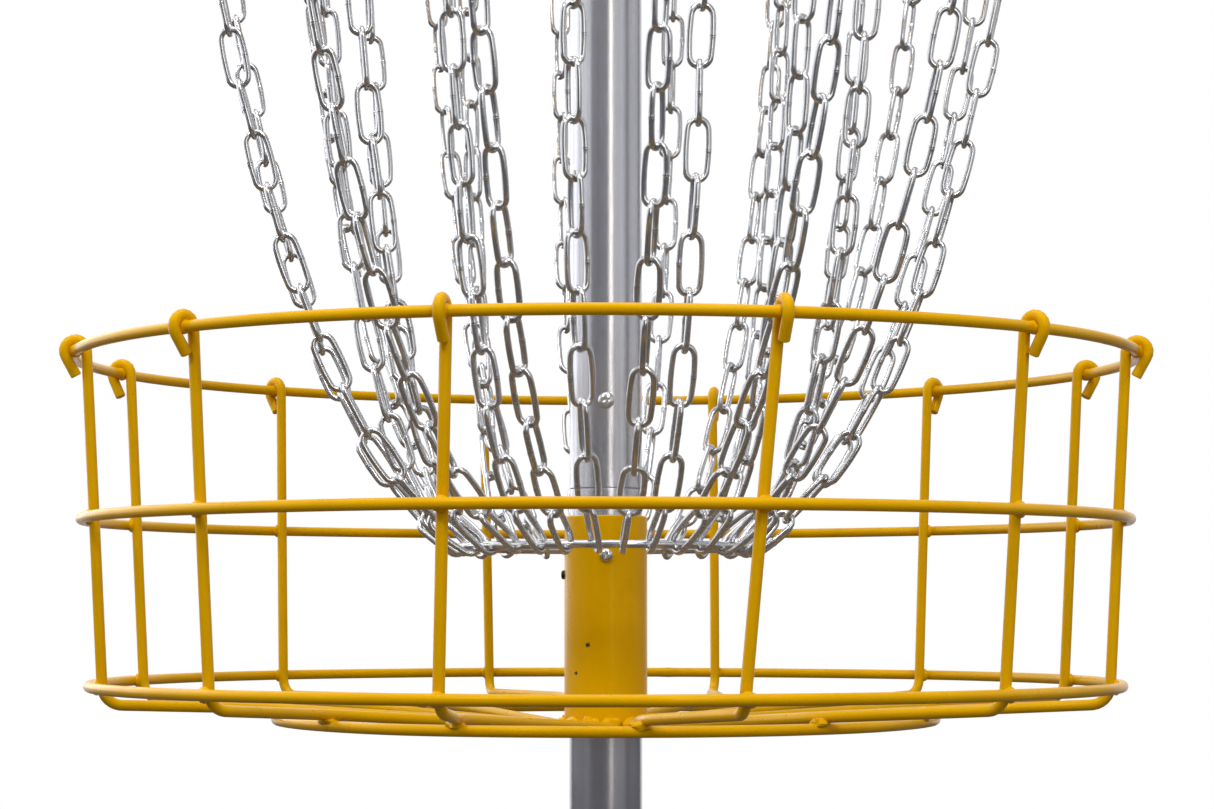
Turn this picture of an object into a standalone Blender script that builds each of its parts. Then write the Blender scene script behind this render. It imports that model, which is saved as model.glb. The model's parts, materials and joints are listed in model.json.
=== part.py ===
"""Disc golf basket: a welded wire basket, a ring of chain strands and a top rack on a two-part steel pole.

Metres, +Z up. The origin is on the floor, under the pole's axis. Azimuths are in degrees round the
pole: 0 faces -Y and 90 faces +X.
"""

import math

import bmesh
import bpy
from mathutils import Matrix, Vector

# ---------------------------------------------------------------- driving dimensions
CLEARANCE = 0.0003  # left between neighbouring solids
MERGE_DISTANCE = 1e-6
OVERSHOOT = 0.001  # how far a drill passes a wall

# Basket: horizontal rings outside twelve bent wires
WIRE_RADIUS = 0.00325
RING_FLAT_ROOM = 0.0005  # extra room for the flats of the many-sided rings
WIRE_OFFSET = 2 * WIRE_RADIUS + CLEARANCE + RING_FLAT_ROOM  # from a ring's wire to a bent wire
FIRST_WIRE_AZIMUTH = 15.0
RIM_RADIUS, RIM_Z = 0.3228, 0.820
BOTTOM_RADIUS, BOTTOM_Z = 0.3114, 0.6232
MIDDLE_Z = 0.7224
FLOOR_RING_RADIUS, FLOOR_RING_Z = 0.200, 0.6025
HOOK_END_ANGLE = -30.0
HOOK_TAIL = 0.0135
WIRE_BEND_RADIUS = 0.012

# Each bent wire leans a little, so it has one azimuth at the rim and another at its lower bend.
# Its floor run slopes down to the sleeve, turns aside to the floor ring and then back.
WIRE_TOPS = (15.8, 45.0, 75.0, 105.0, 134.5, 165.4, 195.8, 225.0, 255.0, 285.0, 315.0, 344.6)
WIRE_FEET = (13.0, 44.0, 75.0, 105.0, 134.5, 164.7, 195.4, 226.0, 255.0, 285.0, 315.4, 343.3)
FLOOR_OUTER_Z, FLOOR_INNER_Z = 0.6120, 0.5975
FLOOR_LIFT = 0.0032  # the floor's outer edge is higher by this at the front, and lower by it at the back
RUN_END_RADIUS = 0.0280
FLOOR_RING_TURN, SLEEVE_TURN = -8.0, 23.0  # a run's azimuth at the floor ring and at its end, from its foot's

# Pole, in two lengths that meet at a seam above the basket's sleeve
POLE_RADIUS = 0.02222
POLE_WALL = 0.0020
SEAM_Z = 0.7421
POLE_TOP_Z = 1.365
COUPLING_WALL = 0.0025
COUPLING_HALF_LENGTH = 0.075

# Sleeve that carries the basket
SLEEVE_RADIUS = 0.0254
SLEEVE_BOTTOM_Z, SLEEVE_TOP_Z = 0.5940, 0.7256

# Fasteners: height and azimuth on the pole, then the shape that they share
POLE_SCREW_Z = 0.7954
FRONT_BOLT_Z = 0.7015
SIDE_BOLT_Z, SIDE_BOLT_AZIMUTH = 0.6897, -90.0
SOCKET_BOLT_Z, SOCKET_BOLT_AZIMUTH = 0.085, 90.0
SCREW_HEAD_RADIUS, SCREW_HEAD_HEIGHT = 0.0050, 0.0032
SCREW_SHOULDER_HEIGHT, SCREW_CROWN_RADIUS = 0.0018, 0.0036
SHANK_RADIUS = 0.0025
SHANK_PAST_COUPLING, SHANK_SHORT_OF_BORE = 0.0020, 0.0002
FRONT_BOLT_SCALE, SIDE_BOLT_SCALE = 0.80, 0.56  # against the pole screw

# Chain strands hang from two rings of the top rack and all end on one loose ring round the pole.
# The ring is turned a little, and the strands' ends are closer together on its front than on its back.
CHAIN_RING_RADIUS, CHAIN_RING_Z = 0.090, 0.7065
CHAIN_RING_WIRE = 0.0025
STRAND_RADIUS = 0.006
STRAND_END_GAP = 0.010
STRAND_FOOT_ANGLE = 30.0  # a strand's rise above the horizontal at the chain ring
STRAND_POINT_POWER = 1.8  # puts more of a strand's points near the chain ring
CHAIN_RING_TURN = 2.5
FRONT_GATHER = 0.25
OUTER_AZIMUTHS = (-173, -152, -128, -103, -76, -46, -18, 7, 33, 58, 82, 104, 124, 151)
INNER_AZIMUTHS = (-150, -121, -92, -58, -32, -7, 18, 41, 62, 112, 138, 164)

# Top rack
HANGER_Z = 1.325
HANGER_WIRE = 0.0035
OUTER_HANGER_RADIUS, INNER_HANGER_RADIUS = 0.286, 0.195
ARM_COUNT, ARM_RADIUS = 6, 0.0040
FIRST_ARM_AZIMUTH = 36.0
BAND_RADIUS, BAND_THICKNESS = 0.3000, 0.0016
BAND_BOTTOM_Z, BAND_TOP_Z = 1.300, 1.415
HUB_WALL, HUB_BOTTOM_Z = 0.0037, 1.318

# Base
HOOP_RADIUS, HOOP_TUBE_RADIUS = 0.300, 0.0125
HOOP_Z = 0.0185
SPOKE_COUNT, FIRST_SPOKE_AZIMUTH = 3, 0.0
FOOT_COUNT, FIRST_FOOT_AZIMUTH = 3, 60.0
FOOT_RADIUS, FOOT_HEIGHT = 0.018, 0.014
SPOKE_RADIUS = 0.0095
SOCKET_WALL, SOCKET_FLOOR, SOCKET_TOP_Z = 0.0040, 0.0050, 0.120
SOCKET_BOTTOM_Z = 0.006
SADDLE_START, SADDLE_END = -15.0, 315.0

# Facets
RING_SEGMENTS = 48
SMALL_RING_SEGMENTS = 36
TURNED_SEGMENTS = 32
SCREW_SEGMENTS = 16
BAR_SEGMENTS = 12
FOOT_SEGMENTS = 24
HOOK_STEPS, BEND_STEPS, SADDLE_STEPS = 7, 4, 11
SIX_SIDES, EIGHT_SIDES = 1, 2  # a curve's bevel resolution
STRAND_POINTS = 11
SHARP_ANGLE = 40.0

# ---------------------------------------------------------------- finishes
FINISHES = {
    "yellow_powder_coat": ((0.72, 0.40, 0.005), 0.0, 0.30),
    "zinc_chain": ((0.62, 0.62, 0.60), 1.0, 0.28),
    "galvanised_tube": ((0.50, 0.50, 0.52), 1.0, 0.38),
    "zinc_fastener": ((0.66, 0.67, 0.68), 1.0, 0.25),
    "dark_fastener": ((0.06, 0.055, 0.05), 1.0, 0.45),
    "rubber": ((0.02, 0.02, 0.02), 0.0, 0.75),
}


def make_material(name):
    """A Principled material with the finish's colour, metallic value and roughness."""
    colour, metallic, roughness = FINISHES[name]
    material = bpy.data.materials.new(name)
    material.use_nodes = True
    shader = material.node_tree.nodes["Principled BSDF"]
    shader.inputs["Base Color"].default_value = (*colour, 1.0)
    shader.inputs["Metallic"].default_value = metallic
    shader.inputs["Roughness"].default_value = roughness
    return material


# ---------------------------------------------------------------- geometry helpers
def clear_scene():
    for old in list(bpy.data.objects):
        bpy.data.objects.remove(old, do_unlink=True)


def around(radius, azimuth, z):
    """The point at a radius, an azimuth in degrees and a height."""
    angle = math.radians(azimuth)
    return Vector((radius * math.sin(angle), -radius * math.cos(angle), z))


def add_object(name, data, material):
    """Puts a mesh or curve into the scene as one named object."""
    data.materials.append(material)
    made = bpy.data.objects.new(name, data)
    bpy.context.scene.collection.objects.link(made)
    return made


def add_tube(name, points, radius, material, closed=False, sides=SIX_SIDES):
    """A round bar or wire along a line of points."""
    curve = bpy.data.curves.new(name, "CURVE")
    curve.dimensions = "3D"
    curve.resolution_u = 1
    curve.render_resolution_u = 0
    curve.bevel_depth = radius
    curve.bevel_resolution = sides
    curve.use_fill_caps = not closed
    line = curve.splines.new("POLY")
    line.points.add(len(points) - 1)
    line.use_cyclic_u = closed
    for slot, point in zip(line.points, points):
        slot.co = (*point, 1.0)
    return add_object(name, curve, material)


def add_ring(name, radius, z, wire, material, segments=RING_SEGMENTS, sides=SIX_SIDES):
    """A ring of round wire. One of its corners lies at the first basket wire's azimuth."""
    step = 360.0 / segments
    points = [around(radius, FIRST_WIRE_AZIMUTH + k * step, z) for k in range(segments)]
    return add_tube(name, points, wire, material, closed=True, sides=sides)


def turned_mesh(name, profile, segments, hollow):
    """A turned mesh from (radius, height) points: a closed loop if hollow, or else from axis to axis."""
    bm = bmesh.new()
    verts = [bm.verts.new((r, 0.0, z)) for r, z in profile]
    edges = [bm.edges.new(pair) for pair in zip(verts, verts[1:])]
    if hollow:
        edges.append(bm.edges.new((verts[-1], verts[0])))
    bmesh.ops.spin(
        bm,
        geom=verts + edges,
        cent=(0, 0, 0),
        axis=(0, 0, 1),
        angle=math.tau,
        steps=segments,
        use_merge=True,
    )
    bmesh.ops.remove_doubles(bm, verts=bm.verts, dist=MERGE_DISTANCE)
    bmesh.ops.recalc_face_normals(bm, faces=bm.faces)
    mesh = bpy.data.meshes.new(name)
    bm.to_mesh(mesh)
    bm.free()
    mesh.shade_smooth()
    mesh.set_sharp_from_angle(angle=math.radians(SHARP_ANGLE))
    return mesh


def add_sleeve(name, inner, outer, bottom, top, material, segments=TURNED_SEGMENTS):
    """An open tube or band round the pole's axis."""
    profile = ((inner, bottom), (outer, bottom), (outer, top), (inner, top))
    return add_object(name, turned_mesh(name, profile, segments, hollow=True), material)


def add_cup(name, inner, wall, mouth_z, inside_z, outside_z, material):
    """A tube with one closed end, at outside_z."""
    outer = inner + wall
    profile = (
        (0.0, outside_z),
        (outer, outside_z),
        (outer, mouth_z),
        (inner, mouth_z),
        (inner, inside_z),
        (0.0, inside_z),
    )
    mesh = turned_mesh(name, profile, TURNED_SEGMENTS, hollow=False)
    return add_object(name, mesh, material)


def outward_matrix(radius, azimuth, z):
    """Turns local +Z to point away from the pole, at a place on a tube of that radius."""
    spot = around(radius, azimuth, z)
    outward = Vector((spot.x, spot.y, 0.0)).normalized()
    return Matrix.Translation(spot) @ outward.to_track_quat("Z", "Y").to_matrix().to_4x4()


def add_screw(name, seat_radius, tip_radius, azimuth, z, material, scale=1.0):
    """A round-headed screw on a tube: its head outside the seat and its shank reaching in to the tip."""
    seat = CLEARANCE
    head, crown = SCREW_HEAD_RADIUS * scale, SCREW_CROWN_RADIUS * scale
    profile = (
        (0.0, tip_radius - seat_radius),
        (SHANK_RADIUS * scale, tip_radius - seat_radius),
        (SHANK_RADIUS * scale, seat),
        (head, seat),
        (head, seat + SCREW_SHOULDER_HEIGHT * scale),
        (crown, seat + SCREW_HEAD_HEIGHT * scale),
        (0.0, seat + SCREW_HEAD_HEIGHT * scale),
    )
    mesh = turned_mesh(name, profile, SCREW_SEGMENTS, hollow=False)
    made = add_object(name, mesh, material)
    made.matrix_world = outward_matrix(seat_radius, azimuth, z)
    return made


def hide_cutter(cutter):
    cutter.hide_render = True
    cutter.display_type = "WIRE"


def combine(target, other, operation):
    """Adds a Boolean modifier, and leaves the other object as a hidden guide."""
    hide_cutter(other)
    modifier = target.modifiers.new(other.name, "BOOLEAN")
    modifier.operation = operation
    modifier.object = other


def drill(target, azimuth, z, reach, scale=1.0):
    """A screw hole through one wall of a tube."""
    radius = SHANK_RADIUS * scale + CLEARANCE
    inner, outer = reach
    ends = ((0.0, inner), (radius, inner), (radius, outer), (0.0, outer))
    mesh = turned_mesh("hole", ends, SCREW_SEGMENTS, hollow=False)
    cutter = add_object("hole_" + target.name, mesh, target.data.materials[0])
    cutter.matrix_world = outward_matrix(MERGE_DISTANCE, azimuth, z)
    combine(target, cutter, "DIFFERENCE")


# ---------------------------------------------------------------- basket
def wire_line_radius(z):
    """The radius of the tapered basket wires' centre line at a height."""
    share = (z - BOTTOM_Z) / (RIM_Z - BOTTOM_Z)
    return BOTTOM_RADIUS - WIRE_OFFSET + share * (RIM_RADIUS - BOTTOM_RADIUS)


def arc(centre, radius, start, end, steps):
    """Points along an arc in the plane of radius and height, angles in degrees."""
    angles = [math.radians(start + (end - start) * k / steps) for k in range(steps + 1)]
    return [(centre[0] + radius * math.cos(a), centre[1] + radius * math.sin(a)) for a in angles]


def wire_points(top, foot):
    """One basket wire: hook tail, hook over the rim, leaning upright, bend, and floor run to the sleeve."""
    hook = arc((RIM_RADIUS, RIM_Z), WIRE_OFFSET, HOOK_END_ANGLE, 180.0, HOOK_STEPS)
    end = math.radians(HOOK_END_ANGLE)
    tail = (hook[0][0] + HOOK_TAIL * math.sin(end), hook[0][1] - HOOK_TAIL * math.cos(end))
    bend_z = FLOOR_OUTER_Z + FLOOR_LIFT * math.cos(math.radians(foot)) + WIRE_BEND_RADIUS
    bend_centre = (wire_line_radius(bend_z) - WIRE_BEND_RADIUS, bend_z)
    bend = arc(bend_centre, WIRE_BEND_RADIUS, 0.0, -90.0, BEND_STEPS)
    crossing_z = FLOOR_RING_Z + 2 * WIRE_RADIUS + CLEARANCE
    points = [around(r, top, z) for r, z in (tail, *hook)]
    points += [around(r, foot, z) for r, z in bend]
    points.append(around(FLOOR_RING_RADIUS, foot + FLOOR_RING_TURN, crossing_z))
    points.append(around(RUN_END_RADIUS, foot + SLEEVE_TURN, FLOOR_INNER_Z))
    return points


def build_basket(materials):
    yellow = materials["yellow_powder_coat"]
    middle_radius = wire_line_radius(MIDDLE_Z) + WIRE_OFFSET
    add_ring("rim_ring", RIM_RADIUS, RIM_Z, WIRE_RADIUS, yellow)
    add_ring("middle_ring", middle_radius, MIDDLE_Z, WIRE_RADIUS, yellow)
    add_ring("bottom_ring", BOTTOM_RADIUS, BOTTOM_Z, WIRE_RADIUS, yellow)
    add_ring("floor_ring", FLOOR_RING_RADIUS, FLOOR_RING_Z, WIRE_RADIUS, yellow)
    for k, (top, foot) in enumerate(zip(WIRE_TOPS, WIRE_FEET)):
        add_tube(f"basket_wire_{k + 1:02d}", wire_points(top, foot), WIRE_RADIUS, yellow)
    sleeve_bore = POLE_RADIUS + CLEARANCE
    sleeve = add_sleeve(
        "basket_sleeve", sleeve_bore, SLEEVE_RADIUS, SLEEVE_BOTTOM_Z, SLEEVE_TOP_Z, yellow
    )
    reach = (sleeve_bore - OVERSHOOT, SLEEVE_RADIUS + OVERSHOOT)
    drill(sleeve, 0.0, FRONT_BOLT_Z, reach, FRONT_BOLT_SCALE)
    drill(sleeve, SIDE_BOLT_AZIMUTH, SIDE_BOLT_Z, reach, SIDE_BOLT_SCALE)


# ---------------------------------------------------------------- pole and fasteners
def build_pole(materials):
    steel = materials["galvanised_tube"]
    bore = POLE_RADIUS - POLE_WALL
    foot_z = SOCKET_BOTTOM_Z + SOCKET_FLOOR + CLEARANCE
    lower = add_sleeve("lower_pole", bore, POLE_RADIUS, foot_z, SEAM_Z, steel)
    upper = add_sleeve("upper_pole", bore, POLE_RADIUS, SEAM_Z + CLEARANCE, POLE_TOP_Z, steel)
    coupling_radius = bore - 1.5 * CLEARANCE
    coupling = add_sleeve(
        "pole_coupling",
        coupling_radius - COUPLING_WALL,
        coupling_radius,
        SEAM_Z - COUPLING_HALF_LENGTH,
        SEAM_Z + COUPLING_HALF_LENGTH,
        steel,
    )
    wall = (bore - OVERSHOOT, POLE_RADIUS + OVERSHOOT)
    drill(lower, 0.0, FRONT_BOLT_Z, wall, FRONT_BOLT_SCALE)
    drill(lower, SIDE_BOLT_AZIMUTH, SIDE_BOLT_Z, wall, SIDE_BOLT_SCALE)
    drill(lower, SOCKET_BOLT_AZIMUTH, SOCKET_BOLT_Z, wall)
    drill(upper, 0.0, POLE_SCREW_Z, wall)
    drill(coupling, 0.0, POLE_SCREW_Z, (coupling_radius - COUPLING_WALL - OVERSHOOT, bore))


def build_fasteners(materials):
    zinc = materials["zinc_fastener"]
    dark = materials["dark_fastener"]
    bore = POLE_RADIUS - POLE_WALL
    through_coupling = bore - COUPLING_WALL - SHANK_PAST_COUPLING
    in_wall = bore + SHANK_SHORT_OF_BORE
    add_screw("pole_screw", POLE_RADIUS, through_coupling, 0.0, POLE_SCREW_Z, zinc)
    add_screw(
        "sleeve_front_bolt", SLEEVE_RADIUS, in_wall, 0.0, FRONT_BOLT_Z, zinc, FRONT_BOLT_SCALE
    )
    add_screw(
        "sleeve_side_bolt",
        SLEEVE_RADIUS,
        in_wall,
        SIDE_BOLT_AZIMUTH,
        SIDE_BOLT_Z,
        dark,
        SIDE_BOLT_SCALE,
    )
    socket_radius = POLE_RADIUS + CLEARANCE + SOCKET_WALL
    add_screw(
        "socket_bolt", socket_radius, in_wall, SOCKET_BOLT_AZIMUTH, SOCKET_BOLT_Z, zinc
    )


# ---------------------------------------------------------------- chains
def strand_ends():
    """(name, top point, bottom point) of every strand. They share the chain ring in turn."""
    tops = [("outer_chain", OUTER_HANGER_RADIUS, a) for a in OUTER_AZIMUTHS]
    tops += [("inner_chain", INNER_HANGER_RADIUS, a) for a in INNER_AZIMUTHS]
    tops.sort(key=lambda top: top[2])
    spacing = 360.0 / len(tops)
    drift = sum(top[2] - k * spacing for k, top in enumerate(tops)) / len(tops)
    count = {"outer_chain": 0, "inner_chain": 0}
    ends = []
    for k, (kind, radius, azimuth) in enumerate(tops):
        count[kind] += 1
        top = around(radius, azimuth, HANGER_Z)
        even = drift + k * spacing
        gathered = even - FRONT_GATHER * math.degrees(math.sin(math.radians(even)))
        bottom = around(CHAIN_RING_RADIUS, gathered + CHAIN_RING_TURN, CHAIN_RING_Z)
        ends.append((f"{kind}_{count[kind]:02d}", top, bottom))
    return ends


def catenary_reach(scale, height):
    """How far out a hanging chain has come at a height above its foot, which rises at the foot angle."""
    foot = math.radians(STRAND_FOOT_ANGLE)
    secant = 1.0 / math.cos(foot) + height / scale
    return scale * (math.acosh(secant) - math.asinh(math.tan(foot)))


def catenary_scale(reach, height):
    """The scale of the hanging chain that reaches so far out at a height, found by halving."""
    low, high = height / 1000.0, height
    while high - low > MERGE_DISTANCE:
        middle = (low + high) / 2
        if catenary_reach(middle, height) < reach:
            low = middle
        else:
            high = middle
    return low


def strand_points(top, bottom):
    """The strand's centre line, from just over the chain ring to just under the hanger ring."""
    across = Vector((top.x - bottom.x, top.y - bottom.y, 0.0))
    height = top.z - bottom.z
    scale = catenary_scale(across.length, height)
    low, high = STRAND_END_GAP, height - HANGER_WIRE - 2 * CLEARANCE
    points = []
    for k in range(STRAND_POINTS):
        rise = low + (high - low) * (k / (STRAND_POINTS - 1)) ** STRAND_POINT_POWER
        out = catenary_reach(scale, rise)
        points.append(bottom + across.normalized() * out + Vector((0.0, 0.0, rise)))
    return points


def build_chains(materials):
    zinc = materials["zinc_chain"]
    add_ring(
        "chain_ring",
        CHAIN_RING_RADIUS,
        CHAIN_RING_Z,
        CHAIN_RING_WIRE,
        zinc,
        segments=SMALL_RING_SEGMENTS,
    )
    for name, top, bottom in strand_ends():
        add_tube(name, strand_points(top, bottom), STRAND_RADIUS, zinc)


# ---------------------------------------------------------------- top rack
def radial_bars(name, count, first_azimuth, inner, outer, z, radius, material):
    """Round bars set out like spokes, as one guide object for a Boolean union."""
    bm = bmesh.new()
    for k in range(count):
        azimuth = first_azimuth + k * 360.0 / count
        middle = around((inner + outer) / 2, azimuth, z)
        turn = outward_matrix(1.0, azimuth, 0.0).to_3x3().to_4x4()
        bmesh.ops.create_cone(
            bm,
            cap_ends=True,
            segments=BAR_SEGMENTS,
            radius1=radius,
            radius2=radius,
            depth=outer - inner,
            matrix=Matrix.Translation(middle) @ turn,
        )
    mesh = bpy.data.meshes.new(name)
    bm.to_mesh(mesh)
    bm.free()
    return add_object(name, mesh, material)


def build_top_rack(materials):
    yellow = materials["yellow_powder_coat"]
    hub_bore = POLE_RADIUS + CLEARANCE
    cap_z = POLE_TOP_Z + CLEARANCE
    hub = add_cup(
        "hanger_spider", hub_bore, HUB_WALL, HUB_BOTTOM_Z, cap_z, cap_z + HUB_WALL, yellow
    )
    arm_z = HANGER_Z + HANGER_WIRE + ARM_RADIUS + CLEARANCE
    arm_tip = BAND_RADIUS - BAND_THICKNESS - 2 * CLEARANCE
    arms = radial_bars(
        "hanger_arms",
        ARM_COUNT,
        FIRST_ARM_AZIMUTH,
        hub_bore + HUB_WALL / 2,
        arm_tip,
        arm_z,
        ARM_RADIUS,
        yellow,
    )
    combine(hub, arms, "UNION")
    for name, radius in (
        ("outer_hanger_ring", OUTER_HANGER_RADIUS),
        ("inner_hanger_ring", INNER_HANGER_RADIUS),
    ):
        add_ring(name, radius, HANGER_Z, HANGER_WIRE, yellow, segments=SMALL_RING_SEGMENTS)
    add_sleeve(
        "top_band",
        BAND_RADIUS - BAND_THICKNESS,
        BAND_RADIUS,
        BAND_BOTTOM_Z,
        BAND_TOP_Z,
        yellow,
        segments=RING_SEGMENTS,
    )


# ---------------------------------------------------------------- base
def build_base(materials):
    steel = materials["galvanised_tube"]
    rubber = materials["rubber"]
    add_ring("base_hoop", HOOP_RADIUS, HOOP_Z, HOOP_TUBE_RADIUS, steel, sides=EIGHT_SIDES)
    bore = POLE_RADIUS + CLEARANCE
    socket = add_cup(
        "base_spider",
        bore,
        SOCKET_WALL,
        SOCKET_TOP_Z,
        SOCKET_BOTTOM_Z + SOCKET_FLOOR,
        SOCKET_BOTTOM_Z,
        steel,
    )
    spoke_tip = HOOP_RADIUS - HOOP_TUBE_RADIUS - 2 * CLEARANCE
    spokes = radial_bars(
        "base_spokes",
        SPOKE_COUNT,
        FIRST_SPOKE_AZIMUTH,
        bore + SOCKET_WALL / 4,
        spoke_tip,
        HOOP_Z,
        SPOKE_RADIUS,
        steel,
    )
    combine(socket, spokes, "UNION")
    drill(socket, SOCKET_BOLT_AZIMUTH, SOCKET_BOLT_Z, (bore - 0.001, bore + SOCKET_WALL + 0.001))
    groove_radius = HOOP_TUBE_RADIUS + 2 * CLEARANCE
    groove = arc((HOOP_RADIUS, HOOP_Z), groove_radius, SADDLE_START, SADDLE_END, SADDLE_STEPS)
    saddle_mesh = turned_mesh("saddle", groove, RING_SEGMENTS, hollow=True)
    saddle = add_object("foot_saddle", saddle_mesh, steel)
    pad = ((0.0, 0.0), (FOOT_RADIUS, 0.0), (FOOT_RADIUS, FOOT_HEIGHT), (0.0, FOOT_HEIGHT))
    for k in range(FOOT_COUNT):
        name = f"foot_{k + 1}"
        foot = add_object(name, turned_mesh(name, pad, FOOT_SEGMENTS, hollow=False), rubber)
        foot.location = around(HOOP_RADIUS, FIRST_FOOT_AZIMUTH + k * 360.0 / FOOT_COUNT, 0.0)
        combine(foot, saddle, "DIFFERENCE")


def main():
    clear_scene()
    materials = {name: make_material(name) for name in FINISHES}
    build_base(materials)
    build_pole(materials)
    build_basket(materials)
    build_fasteners(materials)
    build_chains(materials)
    build_top_rack(materials)


main()
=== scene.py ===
"""The looks of the disc golf basket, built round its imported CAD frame.

Metres, +Z up, the frame's own axes. Azimuths are in degrees round the pole: 0 faces -Y (the camera),
90 faces +X. Every piece's mesh lies in the row frame, so texture coordinates are real places too.
"""

import json
import math
import random

import bmesh
import bpy
import numpy as np
from mathutils import Matrix, Vector, noise


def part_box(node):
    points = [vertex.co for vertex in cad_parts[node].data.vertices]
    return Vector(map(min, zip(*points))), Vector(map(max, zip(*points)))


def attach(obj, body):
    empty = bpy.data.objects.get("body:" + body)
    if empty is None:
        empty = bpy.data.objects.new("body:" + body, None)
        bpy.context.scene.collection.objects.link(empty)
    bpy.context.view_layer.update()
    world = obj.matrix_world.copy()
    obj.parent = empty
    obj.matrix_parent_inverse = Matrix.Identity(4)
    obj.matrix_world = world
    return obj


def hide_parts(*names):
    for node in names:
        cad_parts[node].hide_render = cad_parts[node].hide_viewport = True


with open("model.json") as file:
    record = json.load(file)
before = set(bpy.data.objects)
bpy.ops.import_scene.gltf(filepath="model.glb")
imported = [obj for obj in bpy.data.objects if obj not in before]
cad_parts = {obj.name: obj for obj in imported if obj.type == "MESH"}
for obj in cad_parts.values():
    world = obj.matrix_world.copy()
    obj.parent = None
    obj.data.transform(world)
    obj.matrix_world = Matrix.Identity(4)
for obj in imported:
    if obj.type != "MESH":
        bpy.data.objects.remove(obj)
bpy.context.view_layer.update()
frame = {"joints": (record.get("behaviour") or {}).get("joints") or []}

MM = 0.001

# ---------------------------------------------------------------- camera and stage
CAMERA_PLACE = (-0.0151, -1.7418, 0.6709)
CAMERA_TILT, CAMERA_TURN = 4.058, -0.519
CAMERA_LENS, CAMERA_SENSOR = 84.05, 36.0
FLOOR_RADIUS = 6.0

# ---------------------------------------------------------------- basket wires
# Each bent wire leans a little: its azimuth at the rim, then at its lower bend. Its floor run slopes
# down to the sleeve, turns aside to the floor ring and then back.
WIRE_TOPS = (15.8, 45.0, 75.0, 105.0, 134.5, 165.4, 195.8, 225.0, 255.0, 285.0, 315.0, 344.6)
WIRE_FEET = (13.0, 44.0, 75.0, 105.0, 134.5, 164.7, 195.4, 226.0, 255.0, 285.0, 315.4, 343.3)
FLOOR_OUTER_Z, FLOOR_INNER_Z = 0.6120, 0.5975
FLOOR_LIFT = 3.2 * MM  # how much higher the floor's outer edge is at the front, and lower at the back
FLOOR_RING_TURN, SLEEVE_TURN = -8.0, 23.0
HOOK_END_ANGLE, HOOK_TAIL = -30.0, 13.5 * MM
HOOK_WANDER = 5.0
WIRE_BEND, RUN_BEND = 12.0 * MM, 16.0 * MM
WIRE_SWAY = 0.5 * MM
RING_WANDER = 0.35 * MM
SEAM_LENGTH, SEAM_SWELL = 2.2 * MM, 0.09
SLEEVE_LIP = 0.9 * MM

# ---------------------------------------------------------------- chain
LINK_WIRE = 1.85 * MM
LINK_PITCH = 32.3 * MM
LINK_WIDTH = 16.9 * MM
LINK_BOW = 0.45 * MM
LINK_SIDES, LINK_CROWN_STEPS = 12, 10
LINK_WANDER, LINK_TURN = 0.5 * MM, 7.0
STRAND_FOOT_ANGLE = 30.0
STRAND_TURN, STRAND_TWIST = 28.0, 2.5
# A link's butt weld: distances along its side, and how much the wire swells there, both in millimetres.
WELD_STEPS = (-1.7, -1.1, -0.5, -0.14, 0.0, 0.14, 0.5, 1.1, 1.7)
WELD_SWELL = (0.0, 0.08, 0.16, 0.10, -0.28, 0.10, 0.16, 0.08, 0.0)

# ---------------------------------------------------------------- pole, rack, band and base
SLIP_GAP = 0.3 * MM  # between tubes that slide over one another
POLE_WALL, COUPLING_WALL, TUBE_EDGE = 2.0 * MM, 2.5 * MM, 0.45 * MM
HEAD_HEIGHT, HEAD_SKIRT = 0.64, 0.18  # as shares of a screw head's radius
HUB_WALL, HUB_EDGE = 3.7 * MM, 1.4 * MM
ARM_COUNT, FIRST_ARM, ARM_WIRE = 6, 36.0, 4.0 * MM
BAND_SHEET, BAND_ROLL = 1.6 * MM, 2.2 * MM
LAP_HALF_WIDTH, LAP_SHEET = 15.0 * MM, 1.2 * MM
SOCKET_WALL, SOCKET_EDGE = 4.0 * MM, 1.2 * MM
SPOKE_COUNT, SPOKE_RADIUS = 3, 9.5 * MM
AXIS_HOLE = 0.1 * MM  # keeps a turned shape's end rings apart at the axis

# ---------------------------------------------------------------- facets
WIRE_SIDES, TUBE_SIDES = 16, 28
RING_STEPS = 288
TURNED_STEPS, BAND_STEPS = 96, 240
HOOK_STEPS, BEND_STEPS, RUN_STEPS, ROLL_STEPS = 22, 10, 8, 14
WIRE_SPACING = 2.5 * MM
ROUND_SHARE, ROUND_SUPPORT = 0.45, 1.08  # a round's longest reach along an edge, and its support point's


# ================================================================ geometry helpers
def around(radius, azimuth, z):
    """The point at a radius, an azimuth in degrees and a height."""
    angle = math.radians(azimuth)
    return Vector((radius * math.sin(angle), -radius * math.cos(angle), z))


def unit(vectors):
    """The vectors scaled to length one."""
    return vectors / np.linalg.norm(vectors, axis=-1, keepdims=True)


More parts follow.
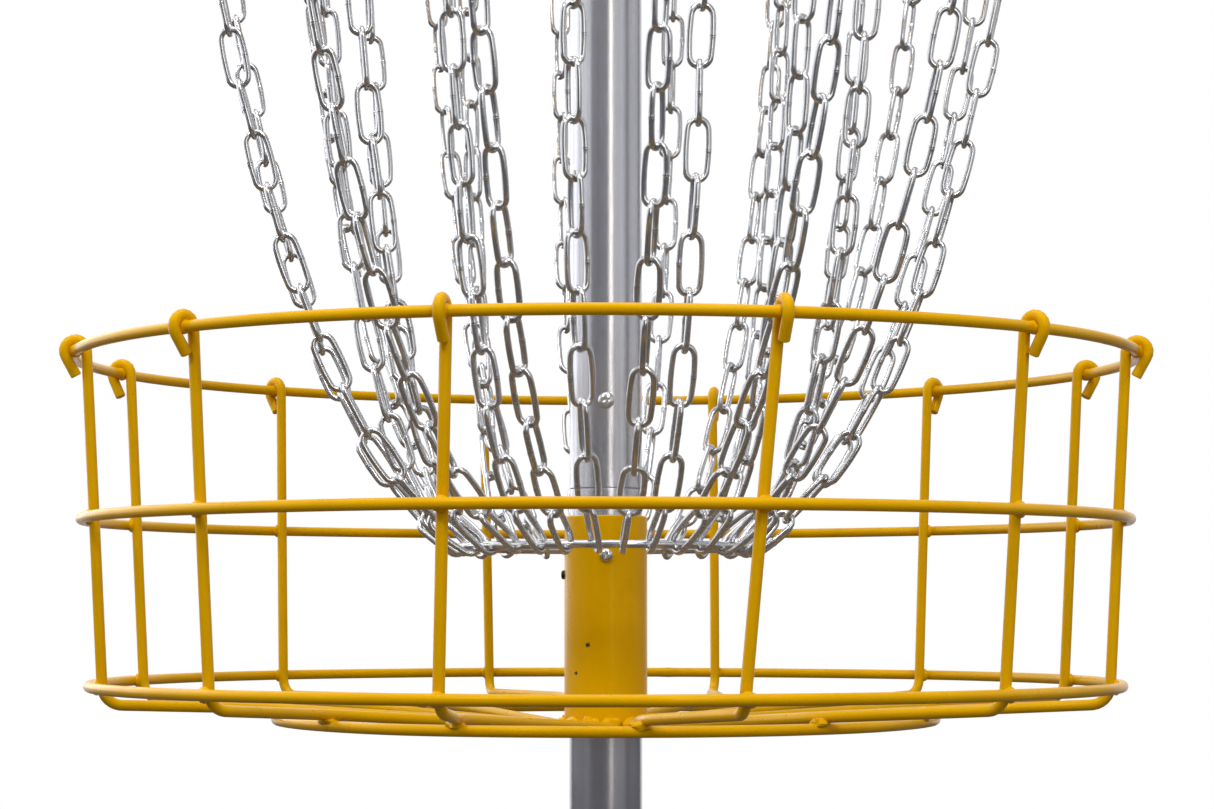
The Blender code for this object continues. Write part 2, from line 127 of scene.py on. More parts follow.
class Shape:
    """Collects the parts of one mesh, with a grime value from 0 to 1 at each point."""

    def __init__(self):
        self.points = []
        self.faces = []
        self.grime = []
        self.count = 0

    def add(self, part, grime=None):
        points, faces = part
        points = np.asarray(points, float).reshape(-1, 3)
        self.points.append(points)
        self.faces += [tuple(i + self.count for i in face) for face in faces]
        self.grime.append(np.zeros(len(points)) if grime is None else grime)
        self.count += len(points)
        return self

    def build(self, name, material, body, slot, replaces=(), sharp=40.0):
        """Makes the piece: a smooth mesh that rides on a body and stands for CAD nodes."""
        mesh = bpy.data.meshes.new(name)
        mesh.from_pydata(np.concatenate(self.points).tolist(), [], self.faces)
        bm = bmesh.new()
        bm.from_mesh(mesh)
        bmesh.ops.recalc_face_normals(bm, faces=bm.faces)
        bm.to_mesh(mesh)
        bm.free()
        grime = mesh.attributes.new("grime", "FLOAT", "POINT")
        grime.data.foreach_set("value", np.concatenate(self.grime).astype(np.float32))
        mesh.shade_smooth()
        mesh.set_sharp_from_angle(angle=math.radians(sharp))
        mesh.materials.append(material)
        piece = bpy.data.objects.new(name, mesh)
        bpy.context.scene.collection.objects.link(piece)
        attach(piece, body)
        if replaces:
            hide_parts(*replaces)
        return piece


def grid_faces(rows, columns, wrap_rows=False, wrap_columns=True):
    """Quads over a grid of points stored row by row."""
    faces = []
    for i in range(rows if wrap_rows else rows - 1):
        for j in range(columns if wrap_columns else columns - 1):
            a, b = i * columns, ((i + 1) % rows) * columns
            k = (j + 1) % columns
            faces.append((a + j, a + k, b + k, b + j))
    return faces


def tube(line, radii, sides=WIRE_SIDES, closed=False):
    """A round tube along a line of points, with a radius for each point and flat ends if it's open."""
    line = np.asarray(line, float)
    radii = np.broadcast_to(np.asarray(radii, float), (len(line),))
    if closed:
        ahead = unit(np.roll(line, -1, 0) - np.roll(line, 1, 0))
    else:
        ahead = unit(np.gradient(line, axis=0))
    side = np.zeros_like(line)
    start = np.eye(3)[int(np.argmin(np.abs(ahead[0])))]
    for k in range(len(line)):
        start = start - ahead[k] * start.dot(ahead[k])
        start = start / np.linalg.norm(start)
        side[k] = start
    other = np.cross(ahead, side)
    turn = math.tau * np.arange(sides) / sides
    ring = np.cos(turn)[:, None] * side[:, None] + np.sin(turn)[:, None] * other[:, None]
    points = line[:, None] + radii[:, None, None] * ring
    faces = grid_faces(len(line), sides, wrap_rows=closed)
    if not closed:
        last = (len(line) - 1) * sides
        faces += [tuple(range(sides)), tuple(last + k for k in range(sides))]
    return points.reshape(-1, 3), faces


def cut_wire(line, radius, chamfer=0.5 * MM, sides=WIRE_SIDES):
    """An open wire whose sawn ends have a small chamfer."""
    line = np.asarray(line, float)
    head = line[0] + unit(line[1] - line[0]) * chamfer
    tail = line[-1] + unit(line[-2] - line[-1]) * chamfer
    line = np.vstack([line[:1], head, line[1:-1], tail, line[-1:]])
    radii = np.full(len(line), radius)
    radii[[0, -1]] = radius - chamfer
    return tube(line, radii, sides)


def turned(profile, steps=TURNED_STEPS, loop=True):
    """A shape turned round the pole's axis, from (radius, height) points that loop or go axis to axis."""
    profile = np.asarray(profile, float)
    turn = math.tau * np.arange(steps) / steps
    radius, height = profile[:, 0][:, None], profile[:, 1][:, None]
    level = np.broadcast_to(height, (len(profile), steps))
    points = np.stack([radius * np.sin(turn), -radius * np.cos(turn), level], axis=-1)
    faces = grid_faces(len(profile), steps, wrap_rows=loop)
    if not loop:
        last = (len(profile) - 1) * steps
        faces += [tuple(range(steps)), tuple(last + k for k in range(steps))]
    return points.reshape(-1, 3), faces


def rounded(corners, radius, steps=4, loop=True):
    """Rounds the corners of an outline, with a support point just outside each round."""
    corners = [Vector(c) for c in corners]
    outline = []
    for k, corner in enumerate(corners):
        if not loop and k in (0, len(corners) - 1):
            outline.append(tuple(corner))
            continue
        before = corners[k - 1] - corner
        after = corners[(k + 1) % len(corners)] - corner
        reach = min(radius, before.length * ROUND_SHARE, after.length * ROUND_SHARE)
        first, last = before.normalized() * reach, after.normalized() * reach
        outline.append(tuple(corner + first * ROUND_SUPPORT))
        for step in range(steps + 1):
            t = step / steps
            outline.append(tuple(corner + first * (1 - t) ** 2 + last * t**2))
        outline.append(tuple(corner + last * ROUND_SUPPORT))
    return outline


def placed(part, matrix):
    """The part moved by a matrix."""
    points, faces = part
    turn = np.array(matrix.to_3x3())
    return points @ turn.T + np.array(matrix.translation), faces


def outward_matrix(spot):
    """Turns local +Z to point away from the pole at a spot, with local Y upward."""
    outward = Vector((spot.x, spot.y, 0.0)).normalized()
    up = Vector((0.0, 0.0, 1.0))
    turn = Matrix((up.cross(outward), up, outward)).transposed()
    return Matrix.Translation(spot) @ turn.to_4x4()


def blob(centre, axes, sizes, roughness=0.12, seed=0, rings=9, segments=16):
    """A lump of weld metal: an ellipsoid with an uneven skin."""
    pole_gap, lump_scale, seed_step = 0.12, 1.7, 7.3
    theta = np.linspace(pole_gap, math.pi - pole_gap, rings)[:, None]
    phi = (math.tau * np.arange(segments) / segments)[None]
    ball = [np.sin(theta) * np.cos(phi), np.sin(theta) * np.sin(phi), np.cos(theta) + 0 * phi]
    ball = np.stack(ball, -1).reshape(-1, 3)
    shift = Vector((seed * seed_step, 0, 0))
    swell = np.array([noise.noise(Vector(p * lump_scale) + shift) for p in ball])
    ball = ball * (1 + roughness * swell)[:, None] * np.array(sizes)
    points = ball @ np.array([tuple(a) for a in axes]) + np.array(centre)
    faces = grid_faces(rings, segments)
    last = (rings - 1) * segments
    return points, faces + [tuple(range(segments)), tuple(last + k for k in range(segments))]


def bead(line, size, seed=0):
    """A closed weld bead along a line of points, rippled like laid coins."""
    coin, drift, drift_step = 0.16, 0.25, 0.23
    coins = np.array([coin * math.sin(k * math.tau / 4) for k in range(len(line))])
    drifts = np.array([drift * noise.noise(Vector((k * drift_step, seed, 0))) for k in range(len(line))])
    return tube(line, size * (1 + coins + drifts), sides=10, closed=True)


def saddle(bar, post, azimuth, z, steps):
    """The line where a level bar that points away from the axis meets a round post on the axis."""
    along = around(1.0, azimuth + 90.0, 0.0)
    line = []
    for step in range(steps):
        turn = math.tau * step / steps
        across, height = bar * math.cos(turn), bar * math.sin(turn)
        line.append(around(math.sqrt(post**2 - across**2), azimuth, z + height) + along * across)
    return line


def ring_size(node, six_sided=True):
    """(radius, height, wire radius) of a CAD ring round the pole, whose wire may have six sides."""
    low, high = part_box(node)
    wire = (high.z - low.z) / 2 / (math.sin(math.radians(60.0)) if six_sided else 1.0)
    return (high.x - low.x) / 2 - wire, (low.z + high.z) / 2, wire


# ================================================================ materials
class Finish:
    """Builds one material's node tree on a Principled shader."""

    def __init__(self, name, constants=()):
        self.material = bpy.data.materials.new(name)
        self.material.use_nodes = True
        self.tree = self.material.node_tree
        self.shader = self.tree.nodes["Principled BSDF"]
        self.place = self.node("ShaderNodeTexCoord").outputs["Object"]
        for key, value in constants:
            self.shader.inputs[key].default_value = value

    def node(self, kind, **settings):
        made = self.tree.nodes.new(kind)
        for key, value in settings.items():
            setattr(made, key, value)
        return made

    def join(self, value, socket):
        if isinstance(value, bpy.types.NodeSocket):
            self.tree.links.new(value, socket)
        else:
            socket.default_value = value

    def set(self, name, value):
        self.join(value, self.shader.inputs[name])

    def stretched(self, x, y, z):
        """Texture coordinates scaled along each axis."""
        made = self.node("ShaderNodeVectorMath", operation="MULTIPLY")
        self.join(self.place, made.inputs[0])
        made.inputs[1].default_value = (x, y, z)
        return made.outputs[0]

    def noise(self, scale, detail=3.0, roughness=0.5, place=None):
        made = self.node("ShaderNodeTexNoise")
        self.join(place or self.place, made.inputs["Vector"])
        made.inputs["Scale"].default_value = scale
        made.inputs["Detail"].default_value = detail
        made.inputs["Roughness"].default_value = roughness
        return made.outputs["Fac"]

    def cells(self, scale):
        """How far a place is from the nearest cell's centre."""
        made = self.node("ShaderNodeTexVoronoi")
        self.join(self.place, made.inputs["Vector"])
        made.inputs["Scale"].default_value = scale
        return made.outputs["Distance"]

    def math(self, operation, a, b=0.0, clamp=False):
        made = self.node("ShaderNodeMath", operation=operation, use_clamp=clamp)
        self.join(a, made.inputs[0])
        self.join(b, made.inputs[1])
        return made.outputs[0]

    def remap(self, value, low, high, to_low=0.0, to_high=1.0):
        made = self.node("ShaderNodeMapRange")
        for socket, number in zip(made.inputs[:5], (value, low, high, to_low, to_high)):
            self.join(number, socket)
        return made.outputs[0]

    def mix(self, share, a, b):
        made = self.node("ShaderNodeMix", data_type="RGBA")
        self.join(share, made.inputs["Factor"])
        for value, socket in ((a, made.inputs[6]), (b, made.inputs[7])):
            self.join(value if isinstance(value, bpy.types.NodeSocket) else (*value, 1.0), socket)
        return made.outputs[2]

    def attribute(self, name):
        return self.node("ShaderNodeAttribute", attribute_name=name).outputs["Fac"]

    def bump(self, height, distance, strength=1.0, below=None):
        made = self.node("ShaderNodeBump")
        made.inputs["Strength"].default_value = strength
        made.inputs["Distance"].default_value = distance
        self.join(height, made.inputs["Height"])
        if below is not None:
            self.join(below, made.inputs["Normal"])
        return made.outputs["Normal"]

    def near(self, spots):
        """1 at each (place, size) spot, falling to 0 outside it, with a ragged outline."""
        ragged = self.noise(1400.0, detail=2.0)
        total = 0.0
        for place, size in spots:
            made = self.node("ShaderNodeVectorMath", operation="DISTANCE")
            self.join(self.place, made.inputs[0])
            made.inputs[1].default_value = place
            edge = self.remap(ragged, 0.3, 0.7, -0.5 * size, 0.5 * size)
            reach = self.math("ADD", made.outputs["Value"], edge)
            total = self.math("ADD", self.remap(reach, size, 0.8 * size), total, clamp=True)
        return total


def powder_coat(chips):
    """Glossy yellow powder coat: orange peel, faint shade changes, and chips down to dark steel."""
    constants = (("IOR", 1.5), ("Specular Tint", (1.0, 0.66, 0.04, 1.0)), ("Specular IOR Level", 0.32),
                 ("Coat Weight", 0.05), ("Coat Roughness", 0.04))
    f = Finish("yellow_powder_coat", constants)
    shade = f.noise(26.0, detail=4.0)
    grain = f.noise(1500.0, detail=2.0)
    colour = f.mix(f.remap(shade, 0.35, 0.65), (0.74, 0.388, 0.0), (0.80, 0.422, 0.0))
    colour = f.mix(f.remap(grain, 0.48, 0.72, 0.0, 0.30), colour, (0.62, 0.30, 0.0))
    colour = f.mix(f.math("MULTIPLY", f.attribute("grime"), 0.55), colour, (0.22, 0.12, 0.01))
    pits = f.math("MULTIPLY", f.remap(f.cells(210.0), 0.06, 0.045), f.remap(f.noise(9.0), 0.60, 0.64))
    bare = f.math("ADD", f.near(chips), pits, clamp=True)
    f.set("Base Color", f.mix(bare, colour, (0.035, 0.028, 0.02)))
    f.set("Roughness", f.remap(f.noise(60.0), 0.3, 0.7, 0.26, 0.34))
    peel = f.bump(f.noise(520.0, detail=1.5), 0.00004, 0.5)
    f.set("Normal", f.bump(f.math("SUBTRACT", 1.0, bare), 0.00012, 0.8, below=peel))
    return f.material


def zinc(name, bright, dull, roughness):
    """Bright zinc plate: faint cloudy passivation, an uneven shine and dull weld seams."""
    f = Finish(name, [("Metallic", 1.0)])
    cloud = f.noise(70.0, detail=4.0, roughness=0.55)
    colour = f.mix(f.remap(cloud, 0.35, 0.68), bright, dull)
    colour = f.mix(f.attribute("grime"), colour, (0.10, 0.085, 0.07))
    f.set("Base Color", colour)
    rough = f.remap(f.noise(90.0, detail=2.0), 0.3, 0.7, roughness * 0.92, roughness * 1.08)
    f.set("Roughness", f.math("ADD", rough, f.math("MULTIPLY", f.attribute("grime"), 0.25), clamp=True))
    return f.material


def galvanised_tube():
    """Bright drawn tube: fine lines along its length and soft cloudiness."""
    f = Finish("galvanised_tube", [("Metallic", 1.0)])
    draw = f.noise(1.0, detail=4.0, roughness=0.6, place=f.stretched(900.0, 900.0, 7.0))
    cloud = f.noise(22.0, detail=4.0, roughness=0.5)
    colour = f.mix(f.remap(cloud, 0.3, 0.7), (0.56, 0.565, 0.60), (0.60, 0.60, 0.635))
    colour = f.mix(f.remap(draw, 0.50, 0.80, 0.0, 0.35), colour, (0.44, 0.44, 0.46))
    f.set("Base Color", f.mix(f.attribute("grime"), colour, (0.12, 0.11, 0.10)))
    f.set("Roughness", f.remap(f.noise(60.0, detail=2.0), 0.3, 0.7, 0.23, 0.26))
    lines = f.bump(draw, 0.000006, 0.25)
    f.set("Normal", f.bump(f.noise(1500.0, detail=2.0), 0.000004, 0.4, below=lines))
    return f.material


def dark_fastener():
    """Black-oxide steel, rubbed to metal in places."""
    f = Finish("dark_fastener", [("Metallic", 0.85)])
    worn = f.remap(f.noise(700.0, detail=4.0), 0.58, 0.70)
    f.set("Base Color", f.mix(worn, (0.030, 0.026, 0.024), (0.16, 0.14, 0.12)))
    f.set("Roughness", f.remap(worn, 0.0, 1.0, 0.46, 0.30))
    f.set("Normal", f.bump(f.noise(1500.0), 0.00004, 0.5))
    return f.material


def rubber():
    """Moulded black rubber with a matt, slightly dusty skin."""
    f = Finish("rubber")
    dust = f.remap(f.noise(160.0, detail=6.0, roughness=0.7), 0.42, 0.72)
    f.set("Base Color", f.mix(dust, (0.014, 0.014, 0.015), (0.052, 0.049, 0.045)))
    f.set("Roughness", f.remap(dust, 0.0, 1.0, 0.62, 0.85))
    f.set("Normal", f.bump(f.noise(900.0, detail=4.0), 0.00015, 0.5))
    return f.material


def floor_finish():
    """Pale matt studio floor."""
    f = Finish("studio_floor")
    f.set("Base Color", f.mix(f.noise(3.0), (0.86, 0.86, 0.86), (0.89, 0.89, 0.885)))
    f.set("Roughness", f.remap(f.noise(40.0), 0.3, 0.7, 0.65, 0.8))
    return f.material


# ================================================================ basket
def wavy_ring(radius, z, wire, seed, seam_azimuth=160.0, sides=WIRE_SIDES):
    """A ring bent from straight wire: a little uneven, with its butt weld standing proud."""
    lobes, lift_seed = 1.6, Vector((0, 0, 9.1))
    line, radii = [], []
    for k in range(RING_STEPS):
        azimuth = 360.0 * k / RING_STEPS
        lobe = around(lobes, azimuth, seed)
        out = RING_WANDER * noise.noise(lobe)
        lift = RING_WANDER * noise.noise(lobe + lift_seed)
        line.append(around(radius + out, azimuth, z + lift))
        away = abs(azimuth - seam_azimuth) * math.radians(1.0) * radius / SEAM_LENGTH
        radii.append(wire * (1 + SEAM_SWELL * math.exp(-away * away)))
    return tube(line, radii, sides, closed=True)


def smooth_line(corners, spacing):
    """Points about evenly spaced along a line of corners."""
    corners = np.asarray(corners, float)
    steps = np.linalg.norm(np.diff(corners, axis=0), axis=1)
    along = np.concatenate([[0], np.cumsum(steps)])
    count = max(2, int(round(along[-1] / spacing)) + 1)
    at = np.linspace(0, along[-1], count)
    return np.stack([np.interp(at, along, corners[:, k]) for k in range(corners.shape[1])], 1)


def arc(centre, radius, start, end, steps):
    """Points along an arc in the plane of radius and height, angles in degrees."""
    angles = np.radians(np.linspace(start, end, steps + 1))
    return [(centre[0] + radius * math.cos(a), centre[1] + radius * math.sin(a)) for a in angles]


class Basket:
    """The basket's sizes, read from the frame."""

    def __init__(self):
        self.rim, self.rim_z, self.wire = ring_size("rim_ring")
        self.middle, self.middle_z, _ = ring_size("middle_ring")
        self.bottom, self.bottom_z, _ = ring_size("bottom_ring")
        self.floor, self.floor_z, _ = ring_size("floor_ring")
        self.touch = 2 * self.wire
        low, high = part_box("basket_sleeve")
        self.sleeve = (high.x - low.x) / 2
        self.sleeve_low, self.sleeve_high = low.z, high.z
        pole_low, pole_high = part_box("lower_pole")
        self.pole = (pole_high.x - pole_low.x) / 2

    def upright(self, z):
        """The radius of the uprights' centre line at a height."""
        share = (z - self.bottom_z) / (self.rim_z - self.bottom_z)
        return self.bottom - self.touch + share * (self.rim - self.bottom)

    def azimuth(self, top, foot, z):
        """The azimuth of a leaning upright at a height."""
        return foot + (top - foot) * (z - FLOOR_OUTER_Z) / (self.rim_z - FLOOR_OUTER_Z)

    def wire_line(self, top, foot, rng):
        """One bent wire's centre line: hook tail, hook, leaning upright, bend and floor run."""
        hook_end = HOOK_END_ANGLE + rng.uniform(-HOOK_WANDER, HOOK_WANDER)
        hook = arc((self.rim, self.rim_z), self.touch, hook_end, 180.0, HOOK_STEPS)
        end = math.radians(hook_end)
        tip = (hook[0][0] + HOOK_TAIL * math.sin(end), hook[0][1] - HOOK_TAIL * math.cos(end))
        low = FLOOR_OUTER_Z + FLOOR_LIFT * math.cos(math.radians(foot)) + WIRE_BEND
        bend = arc((self.upright(low) - WIRE_BEND, low), WIRE_BEND, 0.0, -90.0, BEND_STEPS)
        line = [around(r, top, z) for r, z in (tip, *hook)]
        line += [around(r, foot, z) for r, z in bend[:-1]]
        crossing = around(self.floor, foot + FLOOR_RING_TURN, self.floor_z + self.touch)
        end = around(self.sleeve + 0.5 * self.wire, foot + SLEEVE_TURN, FLOOR_INNER_Z)
        run = (around(bend[-1][0], foot, bend[-1][1]), crossing, end)
        line += rounded(run, RUN_BEND, RUN_STEPS, loop=False)
        return smooth_line(line, WIRE_SPACING)


def build_basket(looks):
    """The four rings, the twelve bent wires, their welds and the sleeve."""
    yellow = looks["yellow_powder_coat"]
    basket = Basket()
    rings = (
        ("rim_ring", basket.rim, basket.rim_z, 152.0),
        ("middle_ring", basket.middle, basket.middle_z, -158.0),
        ("bottom_ring", basket.bottom, basket.bottom_z, 171.0),
        ("floor_ring", basket.floor, basket.floor_z, -141.0),
    )
    for seed, (node, radius, z, seam) in enumerate(rings):
        shape = Shape().add(wavy_ring(radius, z, basket.wire, seed, seam))
        shape.build(f"{node}.wire", yellow, "stand", "yellow_powder_coat", [node])
    welds = Shape()
    rng = random.Random(11)
    for k, (top, foot) in enumerate(zip(WIRE_TOPS, WIRE_FEET)):
        sway = WIRE_SWAY * rng.uniform(-1.0, 1.0)
        line = basket.wire_line(top, foot, rng)
        share = (line[:, 2] - FLOOR_INNER_Z) / (basket.rim_z - FLOOR_INNER_Z)
        line += (sway * np.sin(math.pi * share))[:, None] * np.array(around(1.0, foot + 90.0, 0.0))
        node = f"basket_wire_{k + 1:02d}"
        shape = Shape().add(cut_wire(line, basket.wire))
        shape.build(f"{node}.bent", yellow, "stand", "yellow_powder_coat", [node])
        add_basket_welds(welds, basket, top, foot, k)
    welds.build("basket_welds", yellow, "stand", "yellow_powder_coat")
    build_sleeve(basket, yellow)


def add_basket_welds(welds, basket, top, foot, seed):
    """Fillets where one bent wire crosses the four rings and meets the sleeve."""
    wire = basket.wire
    middle_z, bottom_z = basket.middle_z, basket.bottom_z
    # Each row: radius, azimuth, height, sizes (along, out and up) in wire radii, and roughness.
    spots = (
        (basket.middle - wire, basket.azimuth(top, foot, middle_z), middle_z, (1.6, 0.9, 1.45), 0.12),
        (basket.bottom - wire, basket.azimuth(top, foot, bottom_z), bottom_z, (1.6, 0.9, 1.4), 0.12),
        (basket.rim, top, basket.rim_z, (1.95, 1.28, 1.28), 0.12),
        (basket.floor, foot + FLOOR_RING_TURN, basket.floor_z + wire, (1.9, 1.6, 0.95), 0.35),
        (basket.sleeve + 0.3 * wire, foot + SLEEVE_TURN, FLOOR_INNER_Z + 0.5 * wire, (1.9, 0.9, 1.4), 0.45),
    )
    for level, (radius, azimuth, z, sizes, roughness) in enumerate(spots):
        axes = (around(1.0, azimuth + 90.0, 0.0), around(1.0, azimuth, 0.0), Vector((0, 0, 1)))
        size = [wire * share for share in sizes]
        welds.add(blob(around(radius, azimuth, z), axes, size, roughness, seed + 20 * level))


def build_sleeve(basket, yellow):
    """The tube that carries the basket, with soft lips."""
    bore = basket.pole + SLIP_GAP
    corners = (
        (bore, basket.sleeve_low),
        (basket.sleeve, basket.sleeve_low),
        (basket.sleeve, basket.sleeve_high),
        (bore, basket.sleeve_high),
    )
    shape = Shape().add(turned(rounded(corners, SLEEVE_LIP)))
    shape.build("basket_sleeve.tube", yellow, "stand", "yellow_powder_coat", ["basket_sleeve"])


# ================================================================ pole and fasteners
def build_pole(looks):
    """The pole's two lengths and the spigot between them."""
    steel = looks["galvanised_tube"]
    tubes = (
        ("lower_pole", "stand", POLE_WALL),
        ("upper_pole", "upper_assembly", POLE_WALL),
        ("pole_coupling", "upper_assembly", COUPLING_WALL),
    )
    for node, body, wall in tubes:
        low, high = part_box(node)
        outer = (high.x - low.x) / 2
        inner = outer - wall
        corners = ((inner, low.z), (outer, low.z), (outer, high.z), (inner, high.z))
        shape = Shape().add(turned(rounded(corners, TUBE_EDGE)))
        shape.build(f"{node}.tube", steel, body, "galvanised_tube", [node])


def screw_head(radius, height, skirt):
    """A pan head with a cross recess, its crown at local z = 0 and its skirt reaching below its seat."""
    rings, steps = 46, 128
    crown, fullness = 0.72 * height, 2.6
    arm, half_width, depth, soft = 0.52 * radius, 0.115 * radius, 0.50 * height, 0.09 * MM
    radii = radius * np.linspace(0.01, 1.0, rings) ** 0.8
    turn = math.tau * np.arange(steps) / steps
    x, y = radii[:, None] * np.cos(turn), radii[:, None] * np.sin(turn)
    skin = crown * (np.sqrt(np.clip(1 - (radii / radius) ** fullness, 0, 1)) - 1)[:, None]
    wide, narrow = np.maximum(abs(x), abs(y)), np.minimum(abs(x), abs(y))
    inside = np.clip((1.5 * half_width - 1.3 * narrow) / soft, 0, 1)
    inside *= np.clip((arm - wide) / soft, 0, 1)
    z = skin - inside * depth * (1 - 0.4 * wide / arm)
    points = np.stack([x, y, z], -1).reshape(-1, 3)
    wall = []
    for share, drop in ((1.0, 0.9), (1.0, 1.0), (0.5, 1.0)):
        low = -height * drop - (skirt if drop == 1.0 else 0.0)
        reach = share * radius
        wall.append(np.stack([reach * np.cos(turn), reach * np.sin(turn), 0 * turn + low], -1))
    points = np.concatenate([points, *wall])
    faces = grid_faces(rings + len(wall), steps)
    last = (rings + len(wall) - 1) * steps
    return points, faces + [tuple(range(steps)), tuple(last + k for k in range(steps))]


def build_fasteners(looks):
    """The four screw heads, each with its own turn in degrees."""
    screws = (
        ("pole_screw", "upper_assembly", "zinc_fastener", 24.0),
        ("sleeve_front_bolt", "stand", "zinc_fastener", 71.0),
        ("sleeve_side_bolt", "stand", "dark_fastener", 10.0),
        ("socket_bolt", "stand", "zinc_fastener", 50.0),
    )
    for node, body, finish, turn in screws:
        low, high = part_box(node)
        centre = (low + high) / 2
        reach = max(abs(v) for v in (low.x, high.x, low.y, high.y))
        crown = Vector((centre.x, centre.y, 0.0)).normalized() * reach
        crown.z = centre.z
        radius = (high.z - low.z) / 2
        head = screw_head(radius, HEAD_HEIGHT * radius, HEAD_SKIRT * radius)
        matrix = outward_matrix(crown) @ Matrix.Rotation(math.radians(turn), 4, "Z")
        shape = Shape().add(placed(head, matrix))
        shape.build(f"{node}.head", looks[finish], body, finish, [node], sharp=32.0)


# ================================================================ chains
def link_outline(half_straight):
    """One link's closed centre line in its width (x) and length (z), its radii and its weld's grime."""
    crown = LINK_WIDTH / 2 - LINK_WIRE - LINK_BOW
    line, swell, grime = [], [], []

    def long_side(sign, heights, extras):
        for z, extra in zip(heights, extras):
            bow = LINK_BOW * (1 - (z / half_straight) ** 2)
            line.append((sign * (crown + bow), 0.0, z))
            swell.append(extra * MM)
            grime.append(1.0 if extra < 0 else 0.0)

    def half_turn(sign):
        for k in range(LINK_CROWN_STEPS + 1):
            turn = math.pi * k / LINK_CROWN_STEPS
            out, up = crown * math.cos(turn), crown * math.sin(turn)
            line.append((sign * out, 0.0, sign * (half_straight + up)))
            swell.append(0.0)
            grime.append(0.0)

    ends = [half_straight * share for share in (0.35, 0.65, 0.88)]
    heights = [-z for z in reversed(ends)] + [step * MM for step in WELD_STEPS] + ends
    plain = [0.0] * len(ends)
    long_side(1.0, heights, plain + list(WELD_SWELL) + plain)
    half_turn(1.0)
    heights = [half_straight * share for share in (0.8, 0.45, 0.15, -0.15, -0.45, -0.8)]
    long_side(-1.0, heights, [0.0] * len(heights))
    half_turn(-1.0)
    return np.array(line), LINK_WIRE + np.array(swell), np.array(grime)


def link_mesh(pitch):
    """One link's points and faces about its middle, and the grime at each point."""
    half_straight = pitch / 2 + LINK_WIRE - (LINK_WIDTH / 2 - LINK_WIRE)
    line, radii, grime = link_outline(half_straight)
    points, faces = tube(line, radii, LINK_SIDES, closed=True)
    return points, faces, np.repeat(grime, LINK_SIDES)


def catenary_reach(scale, height):
    """How far out a hanging chain has come at a height above its foot, which rises at the foot angle."""
    foot = math.radians(STRAND_FOOT_ANGLE)
    return scale * (np.arccosh(1.0 / math.cos(foot) + height / scale) - math.asinh(math.tan(foot)))


def strand_line(top, bottom, samples=600):
    """Points along a hanging strand, in the upright plane through its ends."""
    across = np.array([top.x - bottom.x, top.y - bottom.y, 0.0])
    reach, height = np.linalg.norm(across), top.z - bottom.z
    low, high = height / 1000.0, height
    tolerance = 1e-7
    while high - low > tolerance:
        middle = (low + high) / 2
        low, high = (middle, high) if catenary_reach(middle, height) < reach else (low, middle)
    rise = height * np.linspace(0.0, 1.0, samples) ** 2
    out = catenary_reach(low, rise)
    return np.array(bottom) + out[:, None] * across / reach + rise[:, None] * np.array([0.0, 0.0, 1.0])


def along_line(line, at):
    """Points at distances along a line, carried on straight past its ends."""
    steps = np.linalg.norm(np.diff(line, axis=0), axis=1)
    length = np.concatenate([[0], np.cumsum(steps)])
    points = np.stack([np.interp(at, length, line[:, k]) for k in range(3)], 1)
    before, after = unit(line[1] - line[0]), unit(line[-1] - line[-2])
    points += np.minimum(at, 0)[:, None] * before + np.maximum(at - length[-1], 0)[:, None] * after
    return points


def strand_shape(top, bottom, ring_wire, hanger_wire, tangent, rng):
    """A strand of separate links, each a quarter turn on from the last, give or take."""
    line = strand_line(top, bottom)
    length = np.linalg.norm(np.diff(line, axis=0), axis=1).sum()
    count = round((length + ring_wire + hanger_wire) / LINK_PITCH)
    pitch = (length + ring_wire + hanger_wire) / count
    knots = along_line(line, -ring_wire + pitch * np.arange(count + 1))
    wander = np.array([[rng.uniform(-1, 1) for _ in range(3)] for _ in range(count - 1)])
    knots[1:-1] += LINK_WANDER * wander
    points, faces, grime = link_mesh(pitch)
    shape = Shape()
    across = np.array(tangent)
    turn, twist = rng.uniform(-STRAND_TURN, STRAND_TURN), rng.uniform(-STRAND_TWIST, STRAND_TWIST)
    for k in range(count):
        ahead = unit(knots[k + 1] - knots[k])
        across = unit(across - ahead * across.dot(ahead))
        side = np.cross(ahead, across)
        angle = math.radians(turn + 90.0 * (k % 2) + twist * k + rng.uniform(-LINK_TURN, LINK_TURN))
        normal = math.cos(angle) * across + math.sin(angle) * side
        flip = rng.choice((-1.0, 1.0))
        axes = np.stack([flip * np.cross(normal, ahead), normal, ahead * rng.choice((-1.0, 1.0))])
        shape.add((points @ axes + (knots[k] + knots[k + 1]) / 2, faces), grime)
    return shape


def build_chains(looks):
    """The loose ring, and a strand of links along each swing joint's axis."""
    material = looks["zinc_chain"]
    ring_radius, ring_z, ring_wire = ring_size("chain_ring")
    hanger_wire = ring_size("outer_hanger_ring")[2]
    ring = wavy_ring(ring_radius, ring_z, ring_wire, 5, 172.0)
    Shape().add(ring).build("chain_ring.wire", material, "chain_ring_body", "zinc_chain", ["chain_ring"])
    rng = random.Random(7)
    for joint in frame["joints"]:
        if not joint["name"].endswith("_swing"):
            continue
        body = joint["child"]
        node = body.replace("strand", "chain")
        top = Vector(joint["pos_m"])
        axis = Vector(joint["axis"])
        bottom = top + axis * ((ring_z - top.z) / axis.z)
        tangent = Vector((-bottom.y, bottom.x, 0.0)).normalized()
        shape = strand_shape(top, bottom, ring_wire, hanger_wire, tangent, rng)
        shape.build(f"{node}.links", material, body, "zinc_chain", [node])


